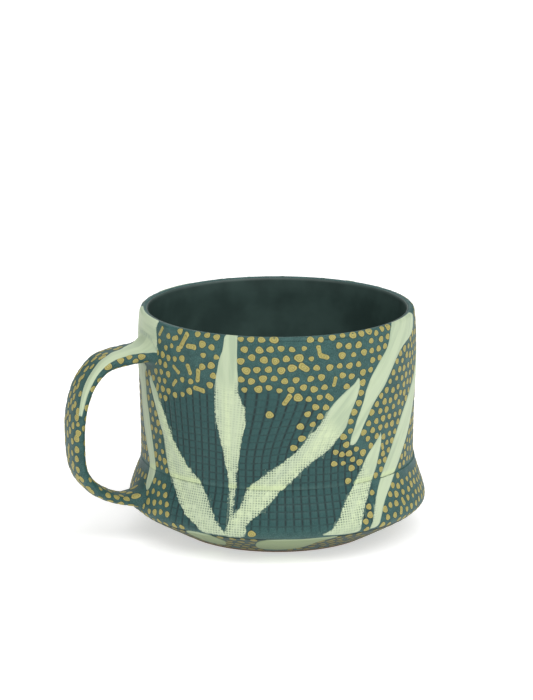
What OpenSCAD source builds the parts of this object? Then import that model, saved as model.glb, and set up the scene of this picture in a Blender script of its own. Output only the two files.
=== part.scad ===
// Stoneware mug: a slab-built body with a flared skirt and a low foot, a strap handle,
// a glazed inside, and leaves brushed on the outside in thick slip.
// It stands on Z = 0 with its axis on Z, and the handle points along -X.

/* [Body] */
// Height of the rim above the table
height = 79; // [70:0.1:96]
// Outer radius of the wall at its fullest
wall_r = 48.3; // [42:0.1:59]
// Thickness of the wall
wall_t = 3.2; // [2.6:0.1:4]
// How far the wall pulls in just above the seam
waist_in = 0.6; // [0:0.1:1.5]
// How far the middle of the lip stands in from the fullest radius
lip_in = 1.9; // [1.5:0.1:3]
// Radius of the rounded lip
lip_r = 1.3; // [0.9:0.1:1.6]

/* [Skirt] */
// Height of the seam between the wall and the skirt
seam_z = 26; // [21:0.5:32]
// How far the skirt stands out at the seam
seam_ledge = 0.5; // [0.2:0.1:0.8]
// Length of the wall's tongue behind the skirt
lap = 5; // [3:0.5:7]
// How far the turned edge stands out from the fullest radius of the wall
flare = 3.7; // [2:0.1:6]
// Height of the turned edge
edge_z = 12; // [9.5:0.1:14.5]
// Width of the rounded turn under the edge
turn_w = 5.6; // [4:0.1:7]
// Height of the rounded turn under the edge
turn_h = 5.2; // [3:0.1:5.8]

/* [Base and foot] */
// How far the foot stands in from the turned edge
foot_in = 17; // [14:0.1:20]
// Height of the foot ring
foot_h = 2.2; // [1.5:0.1:3]
// Width of the foot ring where it stands
foot_w = 4; // [3:0.1:6]
// Thickness of the base
base_t = 4; // [3:0.1:5]
// How far the joint between the base and the skirt lies below the turned edge
base_joint = 2.5; // [1.5:0.1:3.5]
// Chamfer round the foot
foot_chamfer = 0.5; // [0.3:0.1:0.8]

/* [Handle] */
// Reach of the strap's middle line beyond the wall
reach = 25.6; // [22:0.1:32]
// How far the strap's upper end lies below the rim
handle_drop = 12.6; // [11:0.1:20]
// Height of the strap's lower end
handle_low = 13.5; // [11:0.1:16]
// Width of the strap at its upper end
strap_w = 16.5; // [14:0.5:22]
// Thickness of the strap at its upper end
strap_t = 5.4; // [4.8:0.1:7.5]
// Fillet of the clay that is smoothed over the top of the upper end
top_fillet = 6.5; // [4:0.1:7.5]
// Fillet of the clay that is smoothed under the upper end
under_fillet = 1.2; // [0.8:0.1:3.5]
// Fillet of the clay that is smoothed round the lower end
lower_fillet = 1.5; // [1:0.1:2.5]

/* [Finish] */
// Thickness of the glaze inside
glaze_t = 0.25; // [0.15:0.05:0.5]
// Thickness of the leaf slip
slip_t = 0.2; // [0.1:0.05:0.4]
// Slip left between pieces that are luted together
joint_gap = 0.05; // [0.03:0.01:0.1]

/* [Hidden] */
$fn = 96;

teal = [0.24, 0.37, 0.35];
leaf_green = [0.78, 0.83, 0.71];
glaze_green = [0.16, 0.21, 0.2];

// Angle from +X to the side of the mug that carries the front spray of leaves
front = 250;
// The handle stands this far round from the front
handle_turn = -70;
// The back spray is the front one carried round by this angle
back_turn = 165;

function bezier(a, b, c, d, n) = [for (i = [0:n]) let (t = i / n, u = 1 - t)
    u * u * u * a + 3 * u * u * t * b + 3 * u * t * t * c + t * t * t * d];
function arc(centre, r, from, to, n) = [for (i = [0:n]) let (a = from + (to - from) * i / n)
    centre + r * [cos(a), sin(a)]];
function rest_of(p) = [for (i = [1:len(p) - 1]) p[i]];
function reversed(p) = [for (i = [len(p) - 1:-1:0]) p[i]];
function between(p, lo, hi) = [for (q = p) if (q.y > lo && q.y < hi) q];

handle_top = height - handle_drop;

// Outer outline of the body, from the foot to the crest of the lip, as [radius, height]
edge_r = wall_r + flare;
foot_r = edge_r - foot_in;
waist_r = wall_r - waist_in;
lip_centre = [wall_r - lip_in, height - lip_r];
foot_edge = [foot_r, foot_chamfer];
knee = [edge_r - turn_w, edge_z - turn_h];
rise = atan2(knee.y - foot_edge.y, knee.x - foot_edge.x);
under = concat([foot_edge], bezier(knee, knee + 0.7 * turn_w * [cos(rise), sin(rise)],
    [edge_r, edge_z - 0.35 * turn_h], [edge_r, edge_z], 6));
skirt_rise = seam_z - edge_z;
skirt_face = bezier([edge_r, edge_z], [edge_r - 0.3, edge_z + 0.3 * skirt_rise],
    [waist_r + seam_ledge + 0.7, seam_z - 0.35 * skirt_rise], [waist_r + seam_ledge, seam_z], 7);
wall_rise = lip_centre.y - seam_z;
wall_face = bezier([waist_r, seam_z + joint_gap], [waist_r - 0.4, seam_z + 0.35 * wall_rise],
    [wall_r + 1.1, seam_z + 0.78 * wall_rise], [lip_centre.x + lip_r, lip_centre.y], 12);
lip_face = arc(lip_centre, lip_r, 0, 180, 12);
outer = concat(under, rest_of(skirt_face), wall_face, rest_of(arc(lip_centre, lip_r, 0, 72, 4)));
radius_table = [for (p = outer) [p.y, p.x]];
function outer_r(z) = lookup(z, radius_table);

// Inner face of the clay, from the lip to the middle of the floor
floor_z = foot_h + base_t;
skirt_t = wall_t + seam_ledge;
rise_shift = base_t / cos(rise);
function rise_z(r) = foot_edge.y + (r - foot_r) * tan(rise) + rise_shift;
function rise_r(z) = foot_r + (z - foot_edge.y - rise_shift) / tan(rise);
corner = [edge_r - skirt_t - 0.4, rise_z(edge_r - skirt_t - 0.4)];
corner_r = 2.5;
corner_low = corner - corner_r * [cos(rise), sin(rise)];
corner_high = [outer_r(corner.y + corner_r) - skirt_t, corner.y + corner_r];
inner_wall = [for (p = reversed(wall_face)) if (p.y < lip_centre.y - 2 * lip_r) [p.x - wall_t, p.y]];
inner_skirt = [for (p = reversed(skirt_face)) if (p.y > corner_high.y + 0.5) [p.x - skirt_t, p.y]];
inner_corner = bezier(corner_high, corner, corner, corner_low, 5);
floor_edge = [rise_r(floor_z), floor_z];
inner = concat([[lip_centre.x - lip_r, lip_centre.y]], inner_wall, inner_skirt, inner_corner,
    [floor_edge, [0, floor_z]]);

// The wall's tongue stands behind the skirt, half as thick as the wall
tongue_low = seam_z - lap;
tongue_r = waist_r - wall_t / 2;

joint_z = edge_z - base_joint;

module turned(outline) {
    rotate_extrude() polygon(outline);
}

module upper_wall() {
    inside = concat(between(inner, tongue_low, lip_centre.y + 1),
        [[outer_r(tongue_low) - skirt_t, tongue_low]]);
    color(teal) turned(concat(wall_face, rest_of(lip_face), rest_of(inside),
        [[tongue_r, tongue_low], [tongue_r, seam_z + joint_gap]]));
}

module flared_skirt() {
    seat_r = tongue_r + joint_gap;
    seat_z = tongue_low - joint_gap;
    outside = concat([[outer_r(joint_z), joint_z]], between(outer, joint_z, seam_z + 0.01));
    inside = concat([[outer_r(seat_z) - skirt_t, seat_z]], between(inner, joint_z, seat_z),
        [[rise_r(joint_z), joint_z]]);
    color(teal) turned(concat(outside, [[seat_r, seam_z], [seat_r, seat_z]], inside));
}

module base_dish() {
    top_z = joint_z - joint_gap;
    color(teal) turned(concat([[0, foot_h], [outer_r(foot_h), foot_h]], between(outer, foot_h, top_z),
        [[outer_r(top_z), top_z], [rise_r(top_z), top_z], floor_edge, [0, floor_z]]));
}

module foot_ring() {
    top_z = foot_h - joint_gap;
    inner_edge = foot_r - foot_chamfer - foot_w;
    color(teal) turned([[inner_edge, 0], [foot_r - foot_chamfer, 0], foot_edge,
        [outer_r(top_z), top_z], [inner_edge, top_z]]);
}

// A line of points carried sideways by t
function carried(p, t) = [for (i = [0:len(p) - 1])
    let (d = p[min(i + 1, len(p) - 1)] - p[max(i - 1, 0)]) p[i] + t * [d.y, -d.x] / norm(d)];

module liner_glaze() {
    lip_inside = arc(lip_centre, lip_r, 125, 180, 4);
    clay = concat(lip_inside, rest_of(inner));
    color(glaze_green) turned(concat(clay, reversed(carried(clay, glaze_t))));
}

// The strap's middle line as [share of the reach, share of the rise], then its width and
// thickness as shares of those at the upper end
strap_rows = [[0.09, 1, 1, 1], [0.18, 0.997, 0.98, 0.99],
    [0.28, 0.99, 0.97, 0.98], [0.5, 0.972, 0.96, 0.97], [0.68, 0.93, 0.95, 0.96],
    [0.86, 0.82, 0.95, 0.95], [0.965, 0.67, 0.94, 0.95], [1, 0.5, 0.92, 0.93],
    [0.96, 0.263, 0.85, 0.85], [0.79, 0.136, 0.76, 0.76], [0.6, 0.072, 0.7, 0.68],
    [0.42, 0.036, 0.66, 0.62], [0.26, 0.015, 0.64, 0.58]];
// How far the lower end tapers
low_end_w = 0.6;
low_end_t = 0.55;
strap_line = concat([[outer_r(handle_top), handle_top, strap_w / 2, strap_t / 2]],
    [for (s = strap_rows) [wall_r + s[0] * reach, handle_low + s[1] * (handle_top - handle_low),
        s[2] * strap_w / 2, s[3] * strap_t / 2]],
    [[outer_r(handle_low), handle_low, low_end_w * strap_w / 2, low_end_t * strap_t / 2]]);

function curve_point(p, i, t) = let (n = len(p) - 1, a = p[max(i - 1, 0)], b = p[i],
    c = p[min(i + 1, n)], d = p[min(i + 2, n)])
    0.5 * (2 * b + (c - a) * t + (2 * a - 5 * b + 4 * c - d) * t * t
        + (3 * b - a - 3 * c + d) * t * t * t);
steps = 3;
strap = concat([for (i = [0:len(strap_line) - 2]) for (j = [0:steps - 1])
    curve_point(strap_line, i, j / steps)], [strap_line[len(strap_line) - 1]]);
last = len(strap) - 1;
sides = 20;

// Points of a ring keep to a rounded strap, and the two end rings lie on the body
function eased(v) = sign(v) * pow(abs(v), 0.8);
function strap_dir(k) = k == 0 ? [1, 0] : k == last ? [-1, 0]
    : let (d = strap[k + 1] - strap[k - 1]) [d[0], d[1]] / norm([d[0], d[1]]);
function strap_point(k, angle, extra) = let (s = strap[k], d = strap_dir(k),
    y = (s[2] + extra) * eased(cos(angle)), n = (s[3] + extra) * eased(sin(angle)),
    out = s[0] - n * d.y, z = s[1] + n * d.x)
    [-(k == 0 || k == last ? on_body(y, z) : out), y, z];
function on_body(y, z) = sqrt(pow(outer_r(z) + joint_gap, 2) - y * y);
function strap_ring(k, extra) = [for (i = [0:sides - 1]) strap_point(k, side_angle(i), extra)];
function joined(lists) = [for (l = lists) for (p = l) p];
function mean(p) = [for (a = [0:2]) [for (q = p) q[a]] * [for (q = p) 1] / len(p)];

// Quads between two rows of n points that start at a and b, closed when the rows are rings
function band(a, b, n, ring) = [for (i = [0:n - (ring ? 1 : 2)]) let (j = (i + 1) % n)
    for (f = [[a + i, b + j, b + i], [a + i, a + j, b + j]]) f];

module swept(rings) {
    n = sides;
    m = len(rings);
    first_cap = m * n;
    points = concat(joined(rings), [mean(rings[0]) + end_bulge(rings[0])],
        [mean(rings[m - 1]) + end_bulge(rings[m - 1])]);
    faces = concat(
        joined([for (k = [0:m - 2]) band(k * n, (k + 1) * n, n, true)]),
        [for (i = [0:n - 1]) [first_cap, (i + 1) % n, i]],
        [for (i = [0:n - 1]) [first_cap + 1, (m - 1) * n + i, (m - 1) * n + (i + 1) % n]]);
    polyhedron(points, faces);
}
// Carries the middle of an end ring on to the body
function end_bulge(ring) = let (m = mean(ring)) [-on_body(m.y, m.z) - m.x, 0, 0];

module collar(outer_rings, inner_rings) {
    n = sides;
    m = len(outer_rings);
    shift = m * n;
    polyhedron(concat(joined(outer_rings), joined(inner_rings)), concat(
        joined([for (k = [0:m - 2]) band(k * n, (k + 1) * n, n, true)]),
        joined([for (k = [0:m - 2]) band(shift + (k + 1) * n, shift + k * n, n, true)]),
        band(shift, 0, n, true),
        band((m - 1) * n, shift + (m - 1) * n, n, true)));
}

module handle_strap() {
    color(teal) swept([for (k = [0:last]) strap_ring(k, 0)]);
}

// Clay smoothed round an end: a fillet against the body that feathers out along the strap
upper_rings = 10;
lower_rings = 4;
feather = 0.2;
function run(k, end) = norm([strap[k][0] - strap[end][0], strap[k][1] - strap[end][1]]);
function fillet_at(s, r) = feather + (s < r ? r - sqrt(r * r - (r - s) * (r - s)) : 0);
function weld_over(k, end, angle, over, below) =
    joint_gap + fillet_at(run(k, end), below + (over - below) * (0.5 + 0.5 * sin(angle)));
function upper_over(k, angle) = k < upper_rings ? weld_over(k, 0, angle, top_fillet, under_fillet) : 0;
function lower_over(k, angle) = weld_over(k, last, angle, lower_fillet, lower_fillet);
function side_angle(i) = 360 * i / sides;
function upper_weld_ring(k) = [for (i = [0:sides - 1])
    strap_point(k, side_angle(i), upper_over(k, side_angle(i)))];
function lower_weld_ring(k) = [for (i = [0:sides - 1])
    strap_point(k, side_angle(i), lower_over(k, side_angle(i)))];

module handle_upper_weld() {
    rings = [0:upper_rings - 1];
    color(teal) collar([for (k = rings) upper_weld_ring(k)],
        [for (k = rings) strap_ring(k, joint_gap)]);
}
module handle_lower_weld() {
    rings = [last - lower_rings + 1:last];
    color(teal) collar([for (k = rings) lower_weld_ring(k)],
        [for (k = rings) strap_ring(k, joint_gap)]);
}

// Leaves on the body. Each outline goes round a leaf as [angle from the front, level], where
// level 0 is the foot, 1 the turned edge, 2 the seam and 3 the rim.
leaf_a = [[-21.5, 2.98], [-22.5, 2.91], [-24, 2.81], [-26, 2.61], [-26, 2.51], [-23, 2.31],
    [-20.5, 2.19], [-19.5, 1.96], [-18.5, 1.5], [-17.5, 1.5], [-17, 2.06], [-16, 2.19],
    [-14, 2.33], [-12.5, 2.4], [-12.5, 2.53], [-15, 2.62], [-16, 2.79], [-16.5, 2.98]];
leaf_b = [[-65.5, 2.65], [-63, 2.57], [-59, 2.45], [-54.5, 2.33], [-50, 2.24], [-47.5, 2.05],
    [-43, 1.76], [-37.5, 1.35], [-31.5, 1], [-20, 1], [-21, 1.07], [-26.5, 1.57],
    [-33.5, 2.03], [-38.5, 2.11], [-45.5, 2.26], [-51, 2.41], [-56, 2.52], [-61.5, 2.67]];
leaf_c = [[34.5, 2.68], [28.5, 2.62], [24, 2.56], [19.5, 2.48], [11.5, 2.33], [5, 2.23],
    [-11, 2.03], [-14.5, 1.64], [-16.5, 1.4], [-12, 1.19], [-2.5, 1.67], [5.5, 2.04],
    [13.5, 2.16], [22, 2.25], [28.5, 2.38], [31, 2.47], [34, 2.56], [36, 2.66]];
leaf_d = [[57, 2.98], [51.5, 2.87], [41.5, 2.7], [36.5, 2.52], [31.5, 2.31], [34.5, 2.3],
    [41, 2.47], [49.5, 2.62], [60, 2.81], [74, 2.9], [77, 2.98]];
leaf_e = [[46.5, 2.28], [39, 2.15], [34, 2.03], [28, 1.68], [22.5, 1.25], [17, 0.97],
    [12.5, 0.86], [31.5, 0.81], [34, 1.04], [36, 1.37], [41.5, 1.9], [45.5, 2.11], [48, 2.25]];
leaf_f = [[88, 2.7], [80, 2.6], [70, 2.48], [62, 2.34], [56.5, 2.19], [51, 2.04], [44.5, 1.51],
    [41, 0.8], [45, 0.8], [47, 1.36], [55, 1.86], [65, 2.12], [74.5, 2.29], [84, 2.48],
    [92, 2.6], [96, 2.7]];
leaf_g = [[-85, 2.56], [-82, 2.42], [-76, 2.26], [-71, 2.15], [-67.5, 2.06], [-67.5, 1.96],
    [-65, 1.55], [-61.5, 1.6], [-60.5, 1.96], [-60.5, 2.06], [-63.5, 2.15], [-67.5, 2.26],
    [-72.5, 2.42], [-75.5, 2.56]];
leaf_under_b = [[-37.5, 0.9], [-38, 0.62], [-42, 0.2], [-30, 0.2], [-28, 0.6], [-26, 0.9]];
leaf_under_e = [[-6, 0.72], [-8.5, 0.2], [10, 0.2], [18, 0.6], [24, 0.78], [12, 0.78]];
function level_z(v) = lookup(v, [[0, 0], [1, edge_z], [2, seam_z], [3, height]]);
function wall_level(z) = 2 + (z - seam_z) / (height - seam_z);

// The leaf between the rim and the upper weld keeps clear of the weld's outline
weld_clear = 0.1;
leaf_h = concat([[-86, 2.98]],
    [for (i = [2:sides / 2 - 2]) let (p = upper_weld_ring(0)[i])
        [handle_turn - asin(p.y / outer_r(p.z)), wall_level(p.z + weld_clear)]],
    [[-62, 2.98]]);

module brushed(outline, turn) {
    angles = [for (p = outline) p[0]];
    middle = (min(angles) + max(angles)) / 2;
    flat = [for (p = outline) let (z = level_z(p[1])) [outer_r(z) * sin(p[0] - middle), z]];
    low = min([for (p = flat) p.y]) - 0.1;
    high = max([for (p = flat) p.y]) + 0.1;
    face = concat([[outer_r(low), low]], between(outer, low, high), [[outer_r(high), high]]);
    color(leaf_green) rotate([0, 0, front + turn + middle]) intersection() {
        rotate([0, 0, 180]) turned(concat(face, reversed([for (p = face) p + [slip_t, 0]])));
        rotate([90, 0, 90]) linear_extrude(edge_r + 2 * slip_t) polygon(flat);
    }
}

// The leaf along the strap starts over the upper weld, turns on to the strap's front edge and
// narrows to its tip. Both tables go by ring along the strap.
strip_first = 1;
strip_last = 22;
strip_cols = 6;
strip_middle = [[1, 98], [9, 112], [15, 145], [22, 172]];
strip_half = [[1, 60], [9, 38], [18, 24], [22, 8]];
function strip_row(k, extra) = let (half = lookup(k, strip_half))
    [for (i = [0:strip_cols]) let (angle = lookup(k, strip_middle) + half * (2 * i / strip_cols - 1))
        strap_point(k, angle, upper_over(k, angle) + extra)];
module leaf_on_handle() {
    n = strip_cols + 1;
    rows = strip_last - strip_first + 1;
    shift = rows * n;
    rings = [strip_first:strip_last];
    points = concat(joined([for (k = rings) strip_row(k, slip_t)]),
        joined([for (k = rings) strip_row(k, 0)]));
    edge = function (a, b) [[a, b + shift, b], [a, a + shift, b + shift]];
    faces = concat(
        joined([for (k = [0:rows - 2]) band(k * n, (k + 1) * n, n, false)]),
        joined([for (k = [0:rows - 2]) band(shift + (k + 1) * n, shift + k * n, n, false)]),
        joined([for (i = [0:n - 2]) edge(i, i + 1)]),
        joined([for (i = [0:n - 2]) edge((rows - 1) * n + i + 1, (rows - 1) * n + i)]),
        joined([for (k = [0:rows - 2]) edge((k + 1) * n, k * n)]),
        joined([for (k = [0:rows - 2]) edge(k * n + n - 1, (k + 1) * n + n - 1)]));
    color(leaf_green) polyhedron(points, faces);
}

upper_wall();
flared_skirt();
base_dish();
foot_ring();
liner_glaze();
handle_strap();
handle_upper_weld();
handle_lower_weld();
brushed(leaf_a, 0);  // leaf_centre
brushed(leaf_b, 0);  // leaf_left
brushed(leaf_c, 0);  // leaf_right
brushed(leaf_d, 0);  // leaf_rim
brushed(leaf_e, 0);  // leaf_low_right
brushed(leaf_f, 0);  // leaf_far_right
brushed(leaf_g, 0);  // leaf_by_handle
brushed(leaf_h, 0);  // leaf_handle_root
leaf_on_handle();
brushed(leaf_under_b, 0);  // leaf_under_left
brushed(leaf_under_e, 0);  // leaf_under_front
brushed(leaf_a, back_turn);  // leaf_back_centre
brushed(leaf_b, back_turn);  // leaf_back_left
brushed(leaf_c, back_turn);  // leaf_back_right
brushed(leaf_d, back_turn);  // leaf_back_rim
brushed(leaf_e, back_turn);  // leaf_back_low
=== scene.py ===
import math

import bpy
import numpy as np
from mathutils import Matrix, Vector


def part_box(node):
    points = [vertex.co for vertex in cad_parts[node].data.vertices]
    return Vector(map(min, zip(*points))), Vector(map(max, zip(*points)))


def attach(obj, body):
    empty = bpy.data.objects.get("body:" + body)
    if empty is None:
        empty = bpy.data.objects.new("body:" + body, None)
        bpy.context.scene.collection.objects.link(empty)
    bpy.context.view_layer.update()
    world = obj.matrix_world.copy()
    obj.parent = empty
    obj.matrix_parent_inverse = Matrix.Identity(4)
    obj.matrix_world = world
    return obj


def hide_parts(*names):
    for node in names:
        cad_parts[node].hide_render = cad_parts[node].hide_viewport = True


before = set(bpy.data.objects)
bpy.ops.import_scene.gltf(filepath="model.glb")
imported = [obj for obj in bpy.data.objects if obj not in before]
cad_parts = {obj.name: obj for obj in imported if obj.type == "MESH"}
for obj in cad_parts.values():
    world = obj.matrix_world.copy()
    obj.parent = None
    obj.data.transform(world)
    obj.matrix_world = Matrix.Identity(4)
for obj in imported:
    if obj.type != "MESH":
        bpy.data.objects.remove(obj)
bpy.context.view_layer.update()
bpy.ops.object.select_all(action="DESELECT")
mm = 0.001

view = {
    "distance": 1.15,      # from the mug's axis, level with the table
    "height": 0.348,
    "azimuth": -20.0,
    "pitch": 13.917,
    "yaw": 0.185,
    "lens": 174.75,
}


def makeCamera():
    turn = math.radians(view["azimuth"])
    place = (math.sin(turn) * view["distance"], -math.cos(turn) * view["distance"], view["height"])
    aim = (math.radians(90 - view["pitch"]), 0, math.radians(view["azimuth"] + view["yaw"]))
    bpy.ops.object.camera_add(location=place, rotation=aim)
    camera = bpy.context.object
    camera.name = "camera"
    camera.data.lens = view["lens"]
    bpy.context.scene.camera = camera


makeCamera()
print("camera placed")

body = {
    "height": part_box("upper_wall")[1].z / mm,
    "edgeRadius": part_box("flared_skirt")[1].x / mm,
    "flare": 3.7,          # how far the turned edge stands out from the wall
    "wallThick": 3.2,
    "waistIn": 0.6,
    "lipIn": 1.9,
    "lipRadius": 1.3,
    "seamHeight": 26.0,
    "seamLedge": 0.5,
    "lap": 5.0,
    "edgeHeight": 12.0,
    "turnWide": 5.6,
    "turnHigh": 5.2,
    "footIn": 17.0,
    "footHeight": 2.2,
    "footWide": 4.0,
    "baseThick": 4.0,
    "baseJoint": 2.5,
    "chamfer": 0.5,
    "glaze": 0.25,
    "front": 250.0,        # the front spray looks this way round from +X
    "backTurn": 165.0,
}
net = {
    "columns": 112,        # threads round the mug
    "rowPitch": 2.5,
    "perRow": 6,           # mesh rows to a thread
    "grooveWide": 0.34,
    "depthUp": 0.17,       # grooves that run up the wall
    "depthRound": 0.12,    # grooves that run round it
    "fade": (-2.5, 3.5),   # mm in from the pressed part's edge
}


def bezier(a, b, c, d, count):
    t = np.linspace(0, 1, count + 1)[:, None]
    u = 1 - t
    a, b, c, d = (np.array(p) for p in (a, b, c, d))
    return u ** 3 * a + 3 * u * u * t * b + 3 * u * t * t * c + t ** 3 * d


def arc(centre, radius, start, end, count):
    a = np.radians(np.linspace(start, end, count + 1))
    return np.stack([centre[0] + radius * np.cos(a), centre[1] + radius * np.sin(a)], 1)


bends = {
    # how the curves' guide points lie: mm in or out, then the share of the rise
    "under": 0.7,
    "edge": 0.35,
    "skirtLow": (-0.3, 0.3),
    "skirtHigh": (0.7, 0.35),
    "wallLow": (-0.4, 0.35),
    "wallHigh": (1.1, 0.78),
}
edgeRadius, edgeHeight, seamHeight = body["edgeRadius"], body["edgeHeight"], body["seamHeight"]
wallThick, seamLedge, lipRadius = body["wallThick"], body["seamLedge"], body["lipRadius"]
footHeight, chamfer, backTurn = body["footHeight"], body["chamfer"], body["backTurn"]
wallRadius = edgeRadius - body["flare"]
footRadius = edgeRadius - body["footIn"]
waistRadius = wallRadius - body["waistIn"]
skirtTop = waistRadius + seamLedge
lipCentre = (wallRadius - body["lipIn"], body["height"] - lipRadius)
knee = np.array([edgeRadius - body["turnWide"], edgeHeight - body["turnHigh"]])
rise = math.atan2(knee[1] - chamfer, knee[0] - footRadius)
risen = np.array([math.cos(rise), math.sin(rise)])
skirtRise = seamHeight - edgeHeight
wallRise = lipCentre[1] - seamHeight
underCurve = np.vstack([
    np.linspace((footRadius, chamfer), knee, 30)[:-1],
    bezier(knee, knee + bends["under"] * body["turnWide"] * risen,
           (edgeRadius, edgeHeight - bends["edge"] * body["turnHigh"]), (edgeRadius, edgeHeight), 40)])
skirtCurve = bezier(
    (edgeRadius, edgeHeight),
    (edgeRadius + bends["skirtLow"][0], edgeHeight + bends["skirtLow"][1] * skirtRise),
    (skirtTop + bends["skirtHigh"][0], seamHeight - bends["skirtHigh"][1] * skirtRise),
    (skirtTop, seamHeight), 60)
wallCurve = bezier(
    (waistRadius, seamHeight + 0.05),
    (waistRadius + bends["wallLow"][0], seamHeight + bends["wallLow"][1] * wallRise),
    (wallRadius + bends["wallHigh"][0], seamHeight + bends["wallHigh"][1] * wallRise),
    (lipCentre[0] + lipRadius, lipCentre[1]), 160)
lipCurve = arc(lipCentre, lipRadius, 0, 86, 20)
outline = np.vstack([underCurve, skirtCurve[1:], wallCurve, lipCurve[1:]])
runs = np.concatenate([[0], np.cumsum(np.hypot(*np.diff(outline, axis=0).T))])
slope = np.gradient(outline, axis=0)
ledge = np.abs(outline[:, 1] - seamHeight) < 0.2
slope[ledge] = (0, 1)
slope /= np.linalg.norm(slope, axis=1)[:, None]
outward = np.stack([slope[:, 1], -slope[:, 0]], 1)


def runAt(height):
    return np.interp(height, outline[:, 1], runs)


seamRun, topRun = runAt(seamHeight + 0.025), runs[-1]
degree = wallRadius * math.pi / 180          # mm of wall to a degree
pitchUp = 360 / net["columns"]               # degrees between the threads


def levelRun(level):
    # level 0 is the foot, 1 the turned edge, 2 the seam and 3 the rim
    height = np.interp(level, [0, 1, 2, 3], [chamfer, edgeHeight, seamHeight, body["height"]])
    return np.minimum(runAt(height), topRun)


def radiusAt(run):
    return np.interp(run, runs, outline[:, 0])


def heightAt(run):
    return np.interp(run, runs, outline[:, 1])


def outerRadius(height):
    return np.interp(height, outline[:, 1], outline[:, 0])


rubbed = {
    # the seam's ledge shows between these angles, and fades out to flush at each end
    "starts": (8, 34),
    "stops": (130, 165),
    "share": 0.9,
    "below": (7, 0.3),     # mm under the seam
}


def fadedLedge(angle, run):
    around = wrapped(angle)
    flush = 1 - smooth(around, *rubbed["starts"]) + smooth(around, *rubbed["stops"])
    low, high = rubbed["below"]
    return rubbed["share"] * seamLedge * flush * smooth(run, seamRun - low, seamRun - high) * (run < seamRun)


def onBody(angle, run, lift):
    # angle in degrees from the front, run in mm up the outline, lift in mm off the clay
    r = radiusAt(run) + lift * np.interp(run, runs, outward[:, 0]) - fadedLedge(angle, run)
    z = heightAt(run) + lift * np.interp(run, runs, outward[:, 1])
    a = np.radians(angle + body["front"])
    return np.stack([r * np.cos(a), r * np.sin(a), z], -1)


def wrapped(angle):
    return (np.asarray(angle) + 180) % 360 - 180


def smooth(x, low, high):
    t = np.clip((x - low) / (high - low), 0, 1)
    return t * t * (3 - 2 * t)


threads = {
    # how far the threads lean by angle, in degrees, over the rise where the lean grows
    "leanAt": [-70, -48, -24, -8, 10, 24, 50],
    "lean": [0, -2.5, 0, 7, 12, 8, 0],
    "leanRise": (8, 37),
    # waves of the cross threads: mm, how many round the mug and where they start
    "waves": [(0.5, 5, 0), (0.35, 11, 40)],
    "wavesUp": 12,
    "wavesDown": (14, 6),
}


def leanOf(a, run):
    total = 0
    for turn in (0, backTurn):
        total = total + np.interp(wrapped(a - turn), threads["leanAt"], threads["lean"])
    return total * smooth(run - seamRun, *threads["leanRise"])


def bowOf(a, run):
    # how far the cross threads rise, in mm
    low, high = threads["wavesDown"]
    fade = smooth(run, seamRun, seamRun + threads["wavesUp"]) * (1 - smooth(run, topRun - low, topRun - high))
    return fade * sum(size * np.sin(np.radians(a * count + start)) for size, count, start in threads["waves"])


def netCoords(angle, run):
    a, b = np.array(angle, float), np.array(run, float)
    for _ in range(5):
        a = angle - leanOf(a, b)
        b = run - bowOf(a, b)
    return a, b


def insideDistance(u, v, shape):
    # signed distance in mm from the edge of a closed shape, positive inside
    best = np.full(np.shape(u), 1e9)
    inside = np.zeros(np.shape(u), bool)
    for p, q in zip(shape, np.roll(shape, -1, axis=0)):
        e = q - p
        t = np.clip(((u - p[0]) * e[0] + (v - p[1]) * e[1]) / max(e @ e, 1e-9), 0, 1)
        best = np.minimum(best, (u - p[0] - t * e[0]) ** 2 + (v - p[1] - t * e[1]) ** 2)
        if p[1] != q[1]:
            crosses = (p[1] > v) != (q[1] > v)
            inside ^= crosses & (u < p[0] + (v - p[1]) / (q[1] - p[1]) * e[0])
    return np.where(inside, 1, -1) * np.sqrt(best)


def flatShape(points, rounding=6):
    # a shape given by angle and level, rounded into a smooth line, in mm on the flat
    p = np.array([(a * degree, levelRun(level)) for a, level in points])
    if rounding == 0:
        return p
    before, after, next2 = np.roll(p, 1, 0), np.roll(p, -1, 0), np.roll(p, -2, 0)
    line = [0.5 * (2 * p + (after - before) * t + (2 * before - 5 * p + 4 * after - next2) * t * t
                   + (3 * p - before - 3 * after + next2) * t ** 3) for t in np.arange(rounding) / rounding]
    return np.stack(line, 1).reshape(-1, 2)


# the part of the front that the net was pressed into, by angle and level
netShape = flatShape([
    (-44, 1.0), (-47, 1.3), (-50, 1.7), (-54, 2.2), (-58, 2.5), (-40, 2.6), (-28, 2.66), (-12, 2.7),
    (0, 2.68), (9, 2.66), (16, 2.6), (22, 2.45), (30, 2.3), (38, 2.15), (42, 1.95), (40, 1.2), (34, 0.98),
    (10, 1.03), (-8, 1.05), (-12, 0.85), (-30, 0.85)], 3)


def netAt(angle, run):
    total = 0
    for turn in (0, backTurn):
        inside = insideDistance(wrapped(angle - turn) * degree, run, netShape)
        total = total + smooth(inside, *net["fade"])
    return np.clip(total, 0, 1)


def groove(x, wide):
    return np.exp(-((x - np.round(x)) / wide) ** 2)


def reliefAt(a, b, strength):
    # depth in mm that the net pressed in
    up = groove(a / pitchUp, net["grooveWide"] / (pitchUp * degree))
    around = groove((b - seamRun) / net["rowPitch"], net["grooveWide"] / net["rowPitch"])
    return strength * np.maximum(net["depthUp"] * up, net["depthRound"] * around)


def coordsOf(piece):
    out = np.empty(len(piece.data.vertices) * 3)
    piece.data.vertices.foreach_get("co", out)
    return out.reshape(-1, 3)


def putCoords(piece, coords):
    piece.data.vertices.foreach_set("co", np.asarray(coords, float).ravel())
    piece.data.update()


def startEdit(select="SELECT"):
    bpy.ops.object.mode_set(mode="EDIT")
    bpy.ops.mesh.select_all(action=select)


def stopEdit():
    bpy.ops.object.mode_set(mode="OBJECT")


def unselect():
    bpy.ops.object.select_all(action="DESELECT")


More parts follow.
